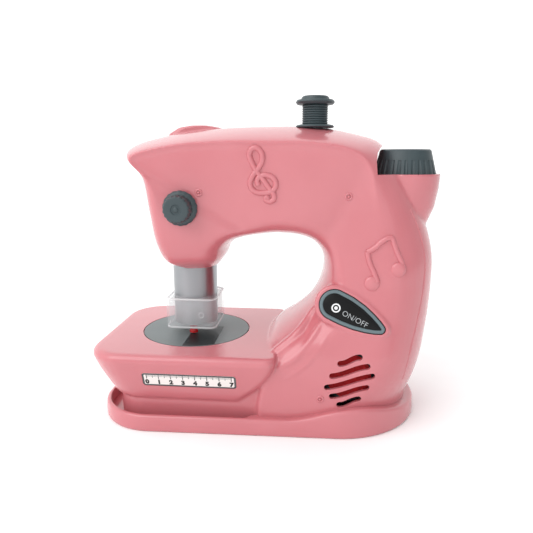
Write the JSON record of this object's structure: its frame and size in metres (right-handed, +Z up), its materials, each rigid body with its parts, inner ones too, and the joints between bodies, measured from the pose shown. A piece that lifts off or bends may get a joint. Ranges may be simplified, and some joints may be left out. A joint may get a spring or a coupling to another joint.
{
  "type": "toy sewing machine",
  "caption": "Toy sewing machine: a moulded C-shaped body on an oval plinth, with a clear-guarded needle on a geared drive, a knob, a hand wheel, a spool and a sprung on/off button.",
  "frame": {"origin": "under the middle of the object's box, on the table", "axes": "+X to the hand wheel, -Y to the front with the button and the ruler strip, +Z up"},
  "size_m": [0.1996, 0.104, 0.1859],
  "materials": {
    "pink": "glossy moulded plastic",
    "slate": "satin moulded plastic",
    "plate_grey": "satin painted",
    "dark": "matte moulded plastic",
    "strip_white": "printed, glossy",
    "silver": "silver coat",
    "clear": "clear moulded plastic",
    "white": "moulded, natural white",
    "red": "glossy moulded plastic",
    "steel": "plain",
    "brass": "plain",
    "cell": "printed sleeve",
    "lamp": "clear lens",
    "button_grey": "glossy moulded plastic",
    "label": "printed, glossy",
    "board": "lacquered board"
  },
  "bodies": {
    "housing": {"front_shell": "pink", "rear_shell": "pink", "base_tray": "pink", "battery_door": "pink", "battery_screw": "steel", "base_screws": "steel", "shell_screws": "steel", "inner_screws": "steel", "battery_cells": "cell", "battery_contacts": "steel", "throat_plate": "plate_grey", "slide_plate": "dark", "scale_strip": "strip_white", "needle_sleeve": "silver", "needle_guard": "clear", "gear_frame": "dark", "drive_axles": "steel", "motor": "steel", "lamp": "lamp", "knob_bush": "dark", "wheel_bush": "dark", "spool_pin": "steel", "push_switch": "dark", "circuit_board": "board", "speaker": "dark", "speaker_clamp": "dark"},
    "needle": {"needle_bar": "white", "needle_tip": "red"},
    "crank": {"crank_gear": "white"},
    "idler": {"idler_gear": "white"},
    "pinion": {"motor_pinion": "brass"},
    "knob": {"tension_knob": "slate", "knob_clip": "steel"},
    "wheel": {"hand_wheel": "slate", "wheel_screw": "steel"},
    "spool": {"spool": "slate"},
    "button": {"on_off_button": "button_grey", "button_label": "label"}
  },
  "joints": [
    {"name": "needle_slide", "type": "slide", "parent": "housing", "child": "needle", "axis": [0, 0, 1], "range_m": [0, 0.006]},
    {"name": "crank_turn", "type": "hinge", "parent": "housing", "child": "crank", "pos_m": [-0.045, 0, 0.124], "axis": [0, 1, 0], "continuous": true},
    {"name": "idler_turn", "type": "hinge", "parent": "housing", "child": "idler", "pos_m": [-0.03309, 0, 0.11713], "axis": [0, 1, 0], "continuous": true},
    {"name": "pinion_turn", "type": "hinge", "parent": "housing", "child": "pinion", "pos_m": [-0.02183, 0, 0.12501], "axis": [0, 1, 0], "continuous": true},
    {"name": "knob_turn", "type": "hinge", "parent": "housing", "child": "knob", "pos_m": [-0.045, 0, 0.1244], "axis": [0, 1, 0], "continuous": true},
    {"name": "wheel_turn", "type": "hinge", "parent": "housing", "child": "wheel", "pos_m": [0.0798, 0, 0.135], "axis": [0, 0, 1], "continuous": true},
    {"name": "spool_turn", "type": "hinge", "parent": "housing", "child": "spool", "pos_m": [0.0277, 0, 0.1683], "axis": [0, 0, 1], "continuous": true},
    {"name": "button_press", "type": "slide", "parent": "housing", "child": "button", "axis": [0, 0.9703, -0.2419], "range_m": [0, 0.0016], "stiffness_N_per_m": 600, "springref_m": -0.001}
  ],
  "couplings": [
    {"joint": "idler_turn", "follows": "crank_turn", "ratio": -2.4},
    {"joint": "pinion_turn", "follows": "crank_turn", "ratio": 5.76}
  ]
}
